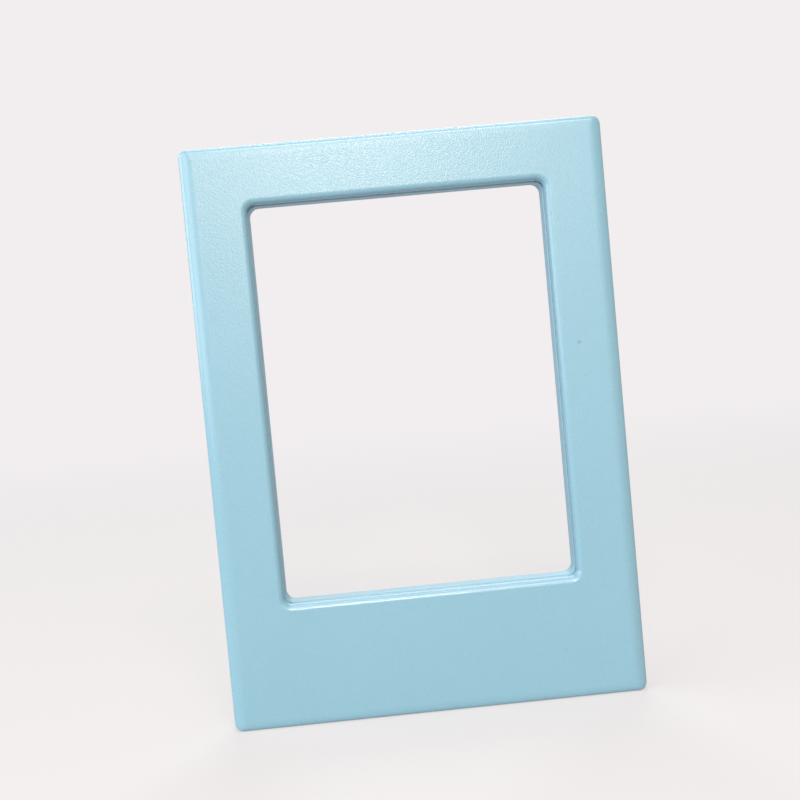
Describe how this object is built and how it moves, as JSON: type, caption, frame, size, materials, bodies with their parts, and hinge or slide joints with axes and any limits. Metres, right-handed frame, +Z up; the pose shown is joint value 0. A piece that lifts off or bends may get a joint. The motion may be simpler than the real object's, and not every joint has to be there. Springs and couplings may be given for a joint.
{
  "type": "magnetic photo frame",
  "caption": "Small upright photo frame with a wide bottom bar and an open window; two plastic halves snap together on a print by bar magnets in the side rails and hold to a steel surface.",
  "frame": {"origin": "centre of the closed frame's box, midway between its front and back faces", "axes": "+Z up along the frame's height, +X to the right as seen from the front, +Y out of the back face, so the front faces -Y"},
  "size_m": [0.0659, 0.005, 0.091],
  "materials": {
    "blue_abs": "satin moulded ABS, light blue, finely textured",
    "magnet_nickel": "nickel plated, slightly dull"
  },
  "bodies": {
    "rear_half": {"rear_frame": "blue_abs", "rear_magnet_left_1": "magnet_nickel", "rear_magnet_left_2": "magnet_nickel", "rear_magnet_left_3": "magnet_nickel", "rear_magnet_right_1": "magnet_nickel", "rear_magnet_right_2": "magnet_nickel", "rear_magnet_right_3": "magnet_nickel"},
    "front_half": {"front_frame": "blue_abs", "front_magnet_left_1": "magnet_nickel", "front_magnet_left_2": "magnet_nickel", "front_magnet_left_3": "magnet_nickel", "front_magnet_right_1": "magnet_nickel", "front_magnet_right_2": "magnet_nickel", "front_magnet_right_3": "magnet_nickel"}
  },
  "joints": [
    {"name": "front_lift_off", "type": "slide", "parent": "rear_half", "child": "front_half", "axis": [0, -1, 0], "range_m": [0, 0.03]}
  ]
}
